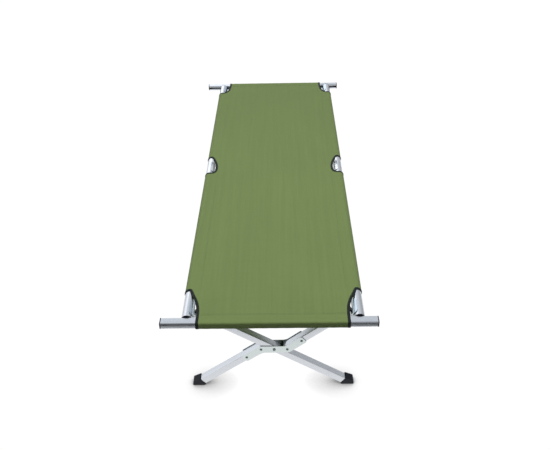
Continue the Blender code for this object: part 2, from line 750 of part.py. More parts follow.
def build_rail(side, half, holder, materials):
    """Half a side rail with its plug, plates, hinge leaf and cloth sleeve."""
    label = {-1: "left", 1: "right"}[side]
    metal, steel, plastic, cloth = (materials[n] for n in MATERIALS)
    end = {"front": -1, "rear": 1}[half]
    near, far = HINGE_Y + end * HINGE_SLIT / 2, end * RAIL_END_Y
    sleeves = {"front": (FRONT_CUT_Y, MID_CUT_Y[0]), "rear": (MID_CUT_Y[1], REAR_CUT_Y)}
    rail = make_rail(f"rail_{label}_{half}", side, *sorted((near, far)))
    place(rail, holder, metal, 35)
    place(make_rail_plug(f"rail_plug_{label}_{half}", side, end), holder, plastic, 35)
    for where in ("front", "mid") if half == "front" else ("rear",):
        place(make_lug(f"lug_{where}_{label}", side, where), holder, steel, 35)
    place(make_leaf(f"hinge_leaf_{label}_{half}", side, end), holder, steel, 35)
    sleeve = make_rail_sleeve(f"rail_sleeve_{label}_{half}", side, *sleeves[half])
    place(sleeve, holder, cloth, 35)


def build_bar(end, holder, materials):
    label = {-1: "front", 1: "rear"}[end]
    pivot = body(f"pivot_bar_{label}", (inward(-1, 0), end * BAR_Y, BAR_Z), holder)
    place(make_bar(f"end_bar_{label}", end), pivot, materials["aluminium"], 35)
    for side, name in ((-1, "left"), (1, "right")):
        cap = make_bar_cap(f"bar_cap_{label}_{name}", side, end)
        place(cap, pivot, materials["black_plastic"], 35)
    place(make_end_sleeve(f"end_sleeve_{label}", end), pivot, materials["green_cloth"], 35)


def main():
    for obj in list(bpy.data.objects):
        bpy.data.objects.remove(obj)
    materials = {name: make_material(name) for name in MATERIALS}
    hinge = {side: (inward(side, 0), HINGE_Y, HINGE_Z) for side in (-1, 1)}
    left_front = body("frame_left_front", (inward(-1, 0), 0, RAIL_Z))
    left_rear = body("pivot_fold_left", hinge[-1], left_front)
    build_rail(-1, "front", left_front, materials)
    build_rail(-1, "rear", left_rear, materials)
    build_x("front", left_front, materials)
    build_x("rear", left_rear, materials)
    carrier = build_x("mid", left_front, materials)
    pivot = (inward(1, 0), LEG_ENDS["mid"], SWING_Z)
    right_front = body("pivot_rail_right", pivot, carrier)
    right_rear = body("pivot_fold_right", hinge[1], right_front)
    build_rail(1, "front", right_front, materials)
    build_rail(1, "rear", right_rear, materials)
    build_bar(-1, left_front, materials)
    build_bar(1, left_rear, materials)
    cloth = materials["green_cloth"]
    place(make_panel("bed_cloth_front", front_edge), left_front, cloth)
    place(make_panel("bed_cloth_rear", rear_edge), left_rear, cloth)


main()
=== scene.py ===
"""Folding camp cot: cloth, bindings, stitching, materials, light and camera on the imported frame.

Units are metres and +Z is up. X runs across the cot and Y along it, with the foot end at -Y.
"""

import json
import math

import bmesh
import bpy
import numpy as np
from mathutils import Matrix, Vector
from mathutils.geometry import delaunay_2d_cdt


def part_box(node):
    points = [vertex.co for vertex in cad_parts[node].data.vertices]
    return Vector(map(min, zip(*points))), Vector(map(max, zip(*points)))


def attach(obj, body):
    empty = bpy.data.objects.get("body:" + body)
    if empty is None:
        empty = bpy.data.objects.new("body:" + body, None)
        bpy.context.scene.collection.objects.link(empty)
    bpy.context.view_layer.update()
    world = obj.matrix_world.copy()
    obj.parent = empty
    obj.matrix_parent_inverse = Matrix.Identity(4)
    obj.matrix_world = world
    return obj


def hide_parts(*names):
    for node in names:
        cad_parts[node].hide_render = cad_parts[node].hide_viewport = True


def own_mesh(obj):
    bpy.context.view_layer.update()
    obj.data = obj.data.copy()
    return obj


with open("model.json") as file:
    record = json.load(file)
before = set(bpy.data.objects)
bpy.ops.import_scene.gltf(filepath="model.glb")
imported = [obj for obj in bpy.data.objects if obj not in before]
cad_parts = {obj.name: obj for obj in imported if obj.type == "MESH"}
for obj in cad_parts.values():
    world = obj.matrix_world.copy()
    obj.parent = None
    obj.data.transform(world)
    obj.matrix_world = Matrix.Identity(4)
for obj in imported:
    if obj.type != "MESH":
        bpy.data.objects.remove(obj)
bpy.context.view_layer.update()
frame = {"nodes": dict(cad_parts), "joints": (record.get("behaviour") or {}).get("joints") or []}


# ---- places, read from the frame ----------------------------------------------------------
def middle(node, axis):
    low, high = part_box(node)
    return (low[axis] + high[axis]) / 2


LEFT_X = middle("rail_left_front", 0)
RIGHT_X = middle("rail_right_front", 0)
MID_X = (LEFT_X + RIGHT_X) / 2
RAIL_X = (RIGHT_X - LEFT_X) / 2
RAIL_Z = middle("rail_left_front", 2)
RAIL_R = middle("rail_left_front", 0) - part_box("rail_left_front")[0][0]
TOP_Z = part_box("rail_sleeve_left_front")[1][2]
BAR_LOW, BAR_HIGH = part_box("end_bar_rear")
HEM_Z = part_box("end_sleeve_rear")[1][2]
SEAM_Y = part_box("end_sleeve_rear")[0][1]
JOINTS = {joint["name"]: joint for joint in frame["joints"]}
FOLD_Y = JOINTS["fold"]["pos_m"][1]
ENDS = {"front": -1, "rear": 1}
SIDES = {"left": -1, "right": 1}
PLACES = ("front", "mid", "rear")

# ---- cloth --------------------------------------------------------------------------------
GAP = 0.0003
CLOTH = 0.0012
TAPE = 0.0009  # how far a binding stands off the cloth
TAPE_IN = 0.0044  # the binding's reach over the cloth, from its middle line
TAPE_OUT = 0.0062  # and out to the fold at the cloth's edge
SLOPE_Y = 0.845  # from here the cloth dips to the end bars
SAG = 0.0030  # at the middle of the bed
FLAP_X = 0.0365  # the rail sleeve's seam, inboard of the rail's axis
FLAP_END = 0.046  # the flap's free edge, past the seam
TAIL_Y = 0.893  # end of the hem that lies under the bed cloth
HEM_POINTS = 6  # across that hem
BAR_PULL = 0.030  # the hem is low enough to slide out this far with the bar

# Middle lines of the bindings, as (distance from the cot's middle, y), from rail to bar
FRONT_CURVE = (
    (0.2945, -0.8052), (0.2918, -0.8070), (0.2872, -0.8158), (0.2795, -0.8345), (0.2690, -0.8570),
    (0.2610, -0.8820), (0.2572, -0.9050), (0.2560, -SEAM_Y),
)
REAR_CURVE = (
    (0.2945, 0.8256), (0.2895, 0.8240), (0.2812, 0.8254), (0.2720, 0.8335), (0.2640, 0.8495),
    (0.2584, 0.8680), (0.2550, 0.8980), (0.2540, SEAM_Y),
)
MID_NEAR_CURVE = (
    (0.2945, -0.0238), (0.2890, -0.0246), (0.2790, -0.0236), (0.2700, -0.0165), (0.2652, -0.0050),
    (0.2634, 0.0090), (0.2640, 0.0330), (0.2684, FOLD_Y),
)
MID_FAR_CURVE = (
    (0.2684, FOLD_Y), (0.2770, 0.0885), (0.2850, 0.1068), (0.2912, 0.1172), (0.2945, 0.1196),
)
HOOK_Y = {"front": (-0.8052, -0.0238), "rear": (0.1196, 0.8256)}  # ends of the rail sleeves

# Stitching
THREAD_RADIUS = 0.00035
SEAM_ROWS = (0.0030, 0.0075)  # the rows across the bed, from the end seam
SEAM_END = 0.008  # and how far they stop short of the cloth's corners
SIDE_END = 0.004  # the same for the rows along the rails
ROW_STEPS = 60
EDGE_ROW = 0.0014  # the row on a binding, from the binding's inner edge

# Small hard pieces
SPLIT_X = 0.048  # the split leg's inner rivets, from the centre pin
OUTER_RIVET = 0.068  # its outer ones, from the inner ones
HEAD = 0.0015  # how far a rivet head of the frame stands off its plate
DOME_RADIUS = 0.0051
DOME_RISE = 0.0007  # how far a dome stands over such a head
DOME_SIDES = 20
FOOT_LEVEL = 0.010  # height at which a leg's middle line meets the middle of its foot cap
TUBE_END = (0.015, 0.020)  # what the slanted ends add to a tube's box, in x and z
PLUG_WALL = 0.0013  # leg tube around a plug, where it goes in
PLUG_START = 0.009  # the open end of a leg, from its top rivet
PLUG_HEIGHT = 0.0040


def spline(points, step=0.004):
    """Points every step along a smooth curve through the given ones (Catmull-Rom)."""
    pts = [Vector(p) for p in points]
    pts = [2 * pts[0] - pts[1]] + pts + [2 * pts[-1] - pts[-2]]
    out = []
    for a, b, c, d in zip(pts, pts[1:], pts[2:], pts[3:]):
        count = max(2, round((c - b).length / step))
        for i in range(count):
            t = i / count
            out.append(
                0.5 * (2 * b + (c - a) * t + (2 * a - 5 * b + 4 * c - d) * t**2
                       + (3 * b - a - 3 * c + d) * t**3)
            )
    return out + [pts[-2]]


CURVES = {name: spline(points) for name, points in {
    "corner_front": FRONT_CURVE,
    "corner_rear": REAR_CURVE,
    "mid_near": MID_NEAR_CURVE,
    "mid_far": MID_FAR_CURVE,
}.items()}


EDGES = {"front": ("corner_front", "mid_near"), "rear": ("corner_rear", "mid_far")}


def ramp(value, low, high):
    return min(1.0, max(0.0, (value - low) / (high - low)))


def bed_z(x, y):
    """Height of the bed cloth's upper face at x from the cot's middle."""
    dip = ramp(abs(y), SLOPE_Y, SEAM_Y)
    across = max(0.0, 1 - (x / RAIL_X) ** 2)
    ripple = 0.00016 * math.sin(61 * x + 1.7 * math.sin(2.3 * y)) * math.sin(2.1 * y + 9 * x)
    ripple += 0.00010 * math.sin(148 * x + 2.6 * math.sin(1.4 * y + 1))
    return TOP_Z - (TOP_Z - HEM_Z) * dip - (SAG * across**2 + ripple * across) * (1 - dip)


# ---- mesh helpers -------------------------------------------------------------------------
def new_piece(name, verts, faces, uvs=None, sharp=40):
    """A mesh object; uvs gives one (u, v) in metres for each vertex."""
    mesh = bpy.data.meshes.new(name)
    mesh.from_pydata([tuple(v) for v in verts], [], faces)
    if uvs is not None:
        layer = mesh.uv_layers.new(name="cloth")
        index = np.zeros(len(mesh.loops), np.int32)
        mesh.loops.foreach_get("vertex_index", index)
        layer.data.foreach_set("uv", np.array(uvs, np.float32)[index].ravel())
    work = bmesh.new()
    work.from_mesh(mesh)
    bmesh.ops.recalc_face_normals(work, faces=work.faces)
    work.to_mesh(mesh)
    work.free()
    mesh.shade_smooth()
    mesh.set_sharp_from_angle(angle=math.radians(sharp))
    obj = bpy.data.objects.new(name, mesh)
    bpy.context.scene.collection.objects.link(obj)
    return obj


def finish_piece(obj, material, body, squashed=False):
    obj.data.materials.append(material)
    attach(obj, body)
    if squashed:
        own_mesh(obj)
    return obj


def polygon_area(points):
    pairs = zip(points, points[1:] + points[:1])
    return abs(sum(a[0] * b[1] - b[0] * a[1] for a, b in pairs)) / 2


def panel(name, right_edge, spacing=0.008):
    """A bed cloth panel from its right edge, a list of (x, y) that is mirrored for the left one."""
    outline = [(x, y) for x, y in right_edge] + [(-x, y) for x, y in reversed(right_edge)]
    dense = []
    for a, b in zip(outline, outline[1:] + outline[:1]):
        count = max(1, round(math.dist(a, b) / spacing))
        dense += [(a[0] + (b[0] - a[0]) * i / count, a[1] + (b[1] - a[1]) * i / count)
                  for i in range(count)]
    rim = len(dense)
    low_y, high_y = min(p[1] for p in dense), max(p[1] for p in dense)
    cols = round(2 * RAIL_X / spacing)
    rows = round((high_y - low_y) / spacing)
    points = [Vector(p) for p in dense]
    for row in range(1, rows):
        y = low_y + (high_y - low_y) * row / rows
        reach = min(edge_crossings(right_edge, y), default=RAIL_X)
        for col in range(1, cols):
            x = RAIL_X * (2 * col / cols - 1)
            if abs(x) < reach - spacing * 0.6:
                points.append(Vector((x, y)))
    mesh = delaunay_2d_cdt(points, [], [list(range(rim))], 1, 1e-6)
    verts, faces = mesh[0], mesh[2]
    count = len(verts)
    top = [(v.x + MID_X, v.y, bed_z(v.x, v.y)) for v in verts]
    bottom = [(x, y, z - CLOTH) for x, y, z in top]
    uses = {}
    for face in faces:
        for a, b in zip(face, face[1:] + face[:1]):
            uses[frozenset((a, b))] = uses.get(frozenset((a, b)), 0) + 1
    sheet = [tuple(face) for face in faces]
    sheet += [tuple(count + i for i in reversed(face)) for face in faces]
    for face in faces:
        for a, b in zip(face, face[1:] + face[:1]):
            if uses[frozenset((a, b))] == 1:
                sheet.append((b, a, a + count, b + count))
    uvs = [(v.x, v.y) for v in verts] * 2
    return new_piece(name, top + bottom, sheet, uvs), polygon_area(outline)


def edge_crossings(edge, y):
    """Every x at which a line of constant y crosses an edge."""
    found = []
    for a, b in zip(edge, edge[1:]):
        if min(a[1], b[1]) <= y <= max(a[1], b[1]):
            share = 0.5 if a[1] == b[1] else (y - a[1]) / (b[1] - a[1])
            found.append(a[0] + (b[0] - a[0]) * share)
    return found


def shell(name, grid, thickness=CLOTH, u_from=0.0, v_from=0.0):
    """A cloth of even thickness on a grid of middle points, one row for each station."""
    points = np.array([[tuple(p) for p in row] for row in grid])
    along, across = np.gradient(points, axis=0), np.gradient(points, axis=1)
    normal = np.cross(along, across)
    normal /= np.linalg.norm(normal, axis=2, keepdims=True)
    rows, cols = points.shape[:2]
    verts = np.concatenate([points + normal * thickness / 2, points - normal * thickness / 2])
    verts = verts.reshape(-1, 3)
    steps = np.linalg.norm(np.diff(points, axis=1), axis=2)
    u = u_from + np.concatenate([np.zeros((rows, 1)), np.cumsum(steps, axis=1)], axis=1)
    steps = np.linalg.norm(np.diff(points, axis=0), axis=2).max(axis=1)
    v = v_from + np.concatenate([[0.0], np.cumsum(steps)])
    uvs = [(u[i, j], v[i]) for i in range(rows) for j in range(cols)] * 2
    half = rows * cols
    faces = []
    for i in range(rows - 1):
        for j in range(cols - 1):
            a, b, c, d = i * cols + j, i * cols + j + 1, (i + 1) * cols + j + 1, (i + 1) * cols + j
            faces += [(a, b, c, d), (a + half, d + half, c + half, b + half)]
    ring = [j for j in range(cols)] + [i * cols + cols - 1 for i in range(1, rows)]
    ring += [(rows - 1) * cols + j for j in range(cols - 2, -1, -1)]
    ring += [i * cols for i in range(rows - 2, 0, -1)]
    for a, b in zip(ring, ring[1:] + ring[:1]):
        faces.append((b, a, a + half, b + half))
    return new_piece(name, verts, faces, uvs)


def tape(name, path, normals, sides, under):
    """A binding: a strip folded over the cloth's edge, along a path on the cloth's middle.

    sides point to the opening, and under says how far it reaches below the cloth at each point.
    """
    verts, uvs = [], []
    length = 0.0
    upper = CLOTH / 2 + TAPE
    for i, (point, normal, side) in enumerate(zip(path, normals, sides)):
        if i:
            length += (point - path[i - 1]).length
        low = CLOTH / 2 + under[i]
        wave = 0.00018 * math.sin(length * 420)
        section = [
            (-TAPE_IN, -low * 0.7), (-TAPE_IN, upper * 0.55), (-TAPE_IN + 0.0006, upper * 0.95),
            (-0.0018, upper + 0.0001), (0.0022, upper + 0.0003), (TAPE_OUT - 0.0016, upper * 0.94),
            (TAPE_OUT - 0.0004, upper * 0.45), (TAPE_OUT, 0.0), (TAPE_OUT - 0.0006, -low * 0.6),
            (TAPE_OUT - 0.0018, -low), (-TAPE_IN + 0.0008, -low),
        ]
        run = 0.0
        for k, (s, n) in enumerate(section):
            s += wave if k > 4 else -wave
            verts.append(point + side * s + normal * n)
            run += 0.0 if not k else math.dist(section[k - 1], section[k])
            uvs.append((run, length))
    count = len(verts) // len(path)
    faces = []
    for i in range(len(path) - 1):
        for k in range(count):
            a, b = i * count + k, i * count + (k + 1) % count
            faces.append((a, b, b + count, a + count))
    faces.append(tuple(range(count))[::-1])
    last = (len(path) - 1) * count
    faces.append(tuple(range(last, last + count)))
    return new_piece(name, verts, faces, uvs, sharp=60)


def stitches(name, path, normals, pitch=0.0032, length=0.0021):
    """A row of short raised stitches along a path that lies on the cloth's face."""
    total = [0.0]
    for a, b in zip(path, path[1:]):
        total.append(total[-1] + (b - a).length)
    verts, faces = [], []
    count = int(total[-1] / pitch)
    k = 0
    for i in range(count):
        at = (i + 0.5) * total[-1] / count
        while k < len(total) - 2 and total[k + 1] < at:
            k += 1
        share = (at - total[k]) / max(total[k + 1] - total[k], 1e-9)
        centre = path[k].lerp(path[k + 1], share)
        normal = normals[k].lerp(normals[k + 1], share).normalized()
        ahead = (path[k + 1] - path[k]).normalized()
        aside = normal.cross(ahead)
        base = len(verts)
        for t, size in ((-0.5, 0.35), (-0.22, 1.0), (0.22, 1.0), (0.5, 0.35)):
            lift = 0.00012 if size == 1.0 else -0.0001
            for a in range(5):
                angle = 2 * math.pi * a / 5
                offset = aside * math.cos(angle) + normal * math.sin(angle)
                place = centre + ahead * length * t + normal * lift
                verts.append(place + offset * THREAD_RADIUS * size)
        for ring in range(3):
            for a in range(5):
                p, q = base + ring * 5 + a, base + ring * 5 + (a + 1) % 5
                faces.append((p, q, q + 5, p + 5))
        faces.append(tuple(base + a for a in range(5))[::-1])
        faces.append(tuple(base + 15 + a for a in range(5)))
    return new_piece(name, verts, faces, sharp=80)


# ---- material nodes -----------------------------------------------------------------------
class Shader:
    """A Principled material and short ways to add nodes to it."""

    def __init__(self, name, base, roughness, metallic=0.0, **sockets):
        self.material = bpy.data.materials.new(name)
        self.material.use_nodes = True
        self.tree = self.material.node_tree
        self.principled = self.tree.nodes["Principled BSDF"]
        self.set("Base Color", (*base, 1.0))
        self.set("Roughness", roughness)
        self.set("Metallic", metallic)
        for socket, value in sockets.items():
            self.set(socket.replace("_", " "), value)
        self.base = base
        self.material.diffuse_color = (*base, 1.0)

    def set(self, socket, value):
        self.principled.inputs[socket].default_value = value

    def node(self, kind, operation=None, values=(), **settings):
        node = self.tree.nodes.new(kind)
        if operation:
            node.operation = operation
        for key, value in settings.items():
            setattr(node, key, value)
        for i, value in enumerate(values):
            if isinstance(value, bpy.types.NodeSocket):
                self.tree.links.new(value, node.inputs[i])
            elif value is not None:
                node.inputs[i].default_value = value
        return node

    def math(self, operation, *values):
        return self.node("ShaderNodeMath", operation, values).outputs[0]

    def coordinates(self, source, scale=(1, 1, 1), rotation=(0, 0, 0)):
        origin = self.node("ShaderNodeTexCoord").outputs[source]
        mapping = self.node("ShaderNodeMapping", values=(origin, (0, 0, 0), rotation, scale))
        return mapping.outputs[0]

    def noise(self, vector, scale, detail=3.0, roughness=0.5):
        node = self.node("ShaderNodeTexNoise")
        self.tree.links.new(vector, node.inputs["Vector"])
        node.inputs["Scale"].default_value = scale
        node.inputs["Detail"].default_value = detail
        node.inputs["Roughness"].default_value = roughness
        return node.outputs["Fac"]

    def spread(self, value, low, high):
        """A 0 to 1 value taken to low to high."""
        return self.math("MULTIPLY_ADD", value, high - low, low)

    def tint(self, *factors):
        """Multiplies the base colour by grey factors."""
        total = factors[0]
        for factor in factors[1:]:
            total = self.math("MULTIPLY", total, factor)
        mix = self.node("ShaderNodeVectorMath", "SCALE")
        mix.inputs[0].default_value = self.base
        self.tree.links.new(total, mix.inputs["Scale"])
        self.tree.links.new(mix.outputs[0], self.principled.inputs["Base Color"])

    def rough(self, value):
        self.tree.links.new(value, self.principled.inputs["Roughness"])

    def bump(self, height, strength, distance):
        node = self.node("ShaderNodeBump")
        node.inputs["Strength"].default_value = strength
        node.inputs["Distance"].default_value = distance
        self.tree.links.new(height, node.inputs["Height"])
        self.tree.links.new(node.outputs[0], self.principled.inputs["Normal"])


def make_cloth():
    """Plain-woven polyester: a fine weave, faint lengthwise streaks and a little mottling."""
    s = Shader("woven_green", (0.1360, 0.1865, 0.0635), 0.82)
    s.set("Sheen Weight", 0.05)
    s.set("Sheen Roughness", 0.45)
    s.set("Specular IOR Level", 0.18)
    uv = s.coordinates("UV")
    split = s.node("ShaderNodeSeparateXYZ", values=(uv,))
    turn = 2 * math.pi / 0.0011
    warp = s.math("SINE", s.math("MULTIPLY", split.outputs[0], turn))
    weft = s.math("SINE", s.math("MULTIPLY", split.outputs[1], turn))
    weave = s.math("MULTIPLY", warp, weft)
    streak = s.noise(s.coordinates("UV", (55, 1.3, 1)), 1.0, 4.0, 0.62)
    fine = s.noise(s.coordinates("UV", (420, 9, 1)), 1.0, 2.0, 0.5)
    slub = s.noise(s.coordinates("UV", (6, 300, 1)), 1.0, 2.0, 0.5)
    cloud = s.noise(s.coordinates("UV", (4, 3, 1)), 1.0, 3.0, 0.55)
    s.tint(
        s.spread(weave, 1.0, 1.07),
        s.spread(streak, 0.90, 1.10),
        s.spread(fine, 0.94, 1.06),
        s.spread(slub, 0.96, 1.04),
        s.spread(cloud, 0.93, 1.07),
    )
    s.rough(s.spread(cloud, 0.76, 0.90))
    height = s.math("MULTIPLY_ADD", weave, 0.5, s.math("MULTIPLY", fine, 0.8))
    s.bump(height, 0.35, 0.00018)
    return s.material


def make_tape():
    """Black-green woven tape with fine ribs across it."""
    s = Shader("binding_tape", (0.0075, 0.0115, 0.0095), 0.72)
    s.set("Sheen Weight", 0.06)
    s.set("Sheen Roughness", 0.4)
    s.set("Specular IOR Level", 0.3)
    split = s.node("ShaderNodeSeparateXYZ", values=(s.coordinates("UV"),))
    rib = s.math("SINE", s.math("MULTIPLY", split.outputs[1], 2 * math.pi / 0.0013))
    edge = s.math("SINE", s.math("MULTIPLY", split.outputs[0], 2 * math.pi / 0.0021))
    wear = s.noise(s.coordinates("UV", (300, 60, 1)), 1.0, 3.0)
    s.tint(s.spread(rib, 1.0, 1.22), s.spread(edge, 1.0, 1.10), s.spread(wear, 0.7, 1.45))
    s.rough(s.spread(wear, 0.6, 0.85))
    s.bump(s.math("ADD", rib, s.math("MULTIPLY", edge, 0.5)), 0.5, 0.00025)
    return s.material


def make_thread():
    s = Shader("sewing_thread", (0.095, 0.125, 0.052), 0.6)
    s.set("Sheen Weight", 0.2)
    twist = s.node("ShaderNodeTexWave", values=(s.coordinates("Object"), 1400.0, 2.0))
    s.tint(s.spread(twist.outputs["Fac"], 0.75, 1.2))
    s.bump(twist.outputs["Fac"], 0.4, 0.0001)
    return s.material


def make_aluminium(name, along=0.0, axis="x", base=(0.72, 0.745, 0.78), gloss=0.0):
    """Drawn aluminium tube with die lines along it; along turns x towards z, in radians."""
    s = Shader(name, base, 0.3, 1.0)
    run, wide = 1.5, 420.0
    scale = {"x": (run, wide, wide), "y": (wide, run, wide)}[axis]
    turned = s.coordinates("Object", rotation=(0, along, 0))
    lines = s.node("ShaderNodeMapping", values=(turned, (0, 0, 0), (0, 0, 0), scale)).outputs[0]
    fine = s.noise(lines, 1.0, 3.0, 0.6)
    broad = s.noise(lines, 0.16, 2.0, 0.5)
    scuff = s.noise(s.coordinates("Object"), 26.0, 5.0, 0.62)
    worn = s.node("ShaderNodeMapRange", values=(scuff, 0.56, 0.74, 0.0, 1.0)).outputs[0]
    s.tint(s.spread(fine, 0.95, 1.05), s.spread(broad, 0.96, 1.04), s.spread(worn, 1.0, 0.95))
    uneven = s.math("ADD", s.spread(fine, 0.23 - gloss, 0.33 - gloss), s.spread(worn, 0.0, 0.10))
    s.rough(s.math("ADD", uneven, s.spread(broad, -0.03, 0.03)))
    s.bump(s.math("MULTIPLY_ADD", broad, 0.7, fine), 0.12, 0.0002)
    return s.material


def make_zinc(name, base):
    """Bright zinc-plated steel sheet, satin with a faint cloudiness."""
    s = Shader(name, base, 0.34, 1.0)
    cloud = s.noise(s.coordinates("Object"), 70.0, 4.0, 0.6)
    grain = s.noise(s.coordinates("Object"), 1500.0, 2.0, 0.5)
    s.tint(s.spread(cloud, 0.93, 1.07), s.spread(grain, 0.97, 1.03))
    s.rough(s.math("ADD", s.spread(cloud, 0.26, 0.40), s.spread(grain, -0.02, 0.02)))
    s.bump(s.math("MULTIPLY_ADD", cloud, 0.6, grain), 0.10, 0.0002)
    return s.material


def make_rivet_metal():
    s = Shader("rivet_steel", (0.17, 0.20, 0.20), 0.42, 1.0)
    cloud = s.noise(s.coordinates("Object"), 300.0, 3.0, 0.6)
    s.tint(s.spread(cloud, 0.8, 1.15))
    s.rough(s.spread(cloud, 0.28, 0.48))
    return s.material


def make_plastic():
    """Moulded black plastic with a fine grain and paler rubbed places."""
    s = Shader("moulded_black", (0.0070, 0.0082, 0.0150), 0.45)
    s.set("Specular IOR Level", 0.2)
    grain = s.noise(s.coordinates("Object"), 900.0, 2.0, 0.6)
    rub = s.noise(s.coordinates("Object"), 90.0, 5.0, 0.65)
    worn = s.node("ShaderNodeMapRange", values=(rub, 0.52, 0.75, 0.0, 1.0)).outputs[0]
    s.tint(s.spread(grain, 0.85, 1.15), s.spread(worn, 1.0, 1.8))
    s.rough(s.math("ADD", s.spread(grain, 0.40, 0.52), s.spread(worn, 0.0, 0.15)))
    s.bump(grain, 0.25, 0.00015)
    return s.material


CLOTH_MATERIAL = make_cloth()
TAPE_MATERIAL = make_tape()
THREAD = make_thread()
ZINC = make_zinc("zinc_plate", (0.735, 0.80, 0.795))
# a darker, bluer copy of the zinc plate for the front and rear lugs, which sit under the cloth: painted
# shade
PAINTED_SHADE_ZINC = make_zinc("zinc_plate_painted_shade", (0.61, 0.71, 0.79))
# a paler copy of the zinc plate for the mid lugs and hinge leaves: painted highlight
PAINTED_HIGHLIGHT_ZINC = make_zinc("zinc_plate_painted_highlight", (0.88, 0.92, 0.94))
RIVET = make_rivet_metal()
PLASTIC = make_plastic()


def tube_angle(node):
    """Slope of a leg tube in the XZ plane, from its box and the side that it leans to."""
    low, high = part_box(node)
    return math.atan2(high.z - low.z - TUBE_END[1], high.x - low.x - TUBE_END[0])


TUBES = {
    "rail": make_aluminium("rail_aluminium", axis="y", gloss=0.08),
    # the end bars use a slightly darker copy of the tube aluminium: painted shade on their tops
    "bar": make_aluminium("bar_aluminium_painted_shade", axis="x", base=(0.70, 0.735, 0.775)),
    "straight": make_aluminium("straight_leg_aluminium", -tube_angle("leg_mid_straight")),
    "upper_arm": make_aluminium("upper_arm_aluminium", tube_angle("leg_mid_upper_arm")),
    "lower_arm": make_aluminium("lower_arm_aluminium", tube_angle("leg_mid_lower_arm")),
}


# ---- CAD nodes ----------------------------------------------------------------------------
def smoothing():
    """A node group that welds a faceted solid and smooths it, apart from edges over 35 degrees."""
    group = bpy.data.node_groups.new("smooth_facets", "GeometryNodeTree")
    group.interface.new_socket("Geometry", in_out="INPUT", socket_type="NodeSocketGeometry")
    group.interface.new_socket("Geometry", in_out="OUTPUT", socket_type="NodeSocketGeometry")
    add, link = group.nodes.new, group.links.new
    enter, leave = add("NodeGroupInput"), add("NodeGroupOutput")
    strip = add("GeometryNodeRemoveAttribute")
    strip.inputs["Name"].default_value = "custom_normal"
    weld = add("GeometryNodeMergeByDistance")
    weld.inputs["Distance"].default_value = 0.00001
    angle = add("GeometryNodeInputMeshEdgeAngle")
    small = add("FunctionNodeCompare")
    small.data_type, small.operation = "FLOAT", "LESS_THAN"
    small.inputs[1].default_value = math.radians(35)
    link(angle.outputs["Unsigned Angle"], small.inputs[0])
    faces = add("GeometryNodeSetShadeSmooth")
    faces.domain = "FACE"
    edges = add("GeometryNodeSetShadeSmooth")
    edges.domain = "EDGE"
    link(small.outputs["Result"], edges.inputs["Shade Smooth"])
    chain = (enter, strip, weld, faces, edges, leave)
    for a, b in zip(chain, chain[1:]):
        link(a.outputs[0], b.inputs[0])
    return group


def material_for(node):
    if node.startswith(("rail_plug", "foot", "bar_cap")):
        return PLASTIC
    if node.startswith("rail_"):
        return TUBES["rail"]
    if node.startswith("end_bar"):
        return TUBES["bar"]
    if node.startswith("leg_"):
        return TUBES[node.split("_", 2)[2]]
    if node.startswith("centre_pin"):
        return RIVET
    # the mid lugs and hinge leaves take the paler zinc copy, a painted highlight
    if node.startswith(("lug_mid", "hinge_leaf")):
        return PAINTED_HIGHLIGHT_ZINC
    # the other lugs take the darker zinc copy, a painted shade
    if node.startswith("lug"):
        return PAINTED_SHADE_ZINC
    return ZINC


SMOOTH = smoothing()
for node, obj in frame["nodes"].items():
    for slot in obj.material_slots:
        slot.material = material_for(node)
    modifier = obj.modifiers.new("smooth_facets", "NODES")
    modifier.node_group = SMOOTH
    modifier = obj.modifiers.new("flat_faces", "WEIGHTED_NORMAL")
    modifier.keep_sharp = True
    modifier.weight = 100


# ---- bed cloth ----------------------------------------------------------------------------
def make_beds():
    corner = CURVES["corner_front"]
    near = CURVES["mid_near"]
    far = CURVES["mid_far"]
    back = CURVES["corner_rear"]
    edges = {
        "front": [(p.x, p.y) for p in reversed(corner)] + [(p.x, p.y) for p in near],
        "rear": [(p.x, p.y) for p in far] + [(p.x, p.y) for p in back],
    }
    beds = {}
    for half, edge in edges.items():
        bed, area = panel(f"cloth_{half}", edge)
        finish_piece(bed, CLOTH_MATERIAL, f"left_{half}", squashed=True)
        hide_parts(f"bed_cloth_{half}")
        length = max(p[1] for p in edge) - min(p[1] for p in edge)
        beds[half] = (bed, (2 * RAIL_X, length), area)
    return beds


def sleeve_section():
    """Middle line of a rail sleeve, as (outward, up) from the rail's axis, from its top round."""
    radius = RAIL_R + GAP + CLOTH / 2
    seam = Vector((-FLAP_X, TOP_Z - RAIL_Z - 1.5 * CLOTH - GAP - 0.0003))
    start = math.degrees(math.atan2(seam.y, seam.x))
    tangent = start + math.degrees(math.acos(radius / seam.length)) - 360
    count = 30
    points = []
    for i in range(count + 1):
        angle = math.radians(90 + (tangent - 90) * i / count)
        points.append(Vector((radius * math.cos(angle), radius * math.sin(angle))))
    last = points[-1]
    points += [last.lerp(seam, i / 6) for i in range(1, 7)]
    points += [Vector((-FLAP_END, seam.y - 0.0001))]
    return points


SECTION = sleeve_section()


def make_sleeves():
    sleeves = {}
    for side, sign in SIDES.items():
        axis = LEFT_X if sign < 0 else RIGHT_X
        for half, (start, end) in HOOK_Y.items():
            rows = round((end - start) / 0.02)
            grid = []
            for i in range(rows + 1):
                y = start + (end - start) * i / rows
                grid.append([Vector((axis + sign * p.x, y, RAIL_Z + p.y)) for p in SECTION])
            sleeve = shell(f"sleeve_{side}_{half}", grid, u_from=RAIL_X, v_from=start)
            finish_piece(sleeve, CLOTH_MATERIAL, f"{side}_{half}")
            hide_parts(f"rail_sleeve_{side}_{half}")
            around = sum((b - a).length for a, b in zip(SECTION, SECTION[1:]))
            sleeves[side, half] = (sleeve, (around, end - start))
    return sleeves


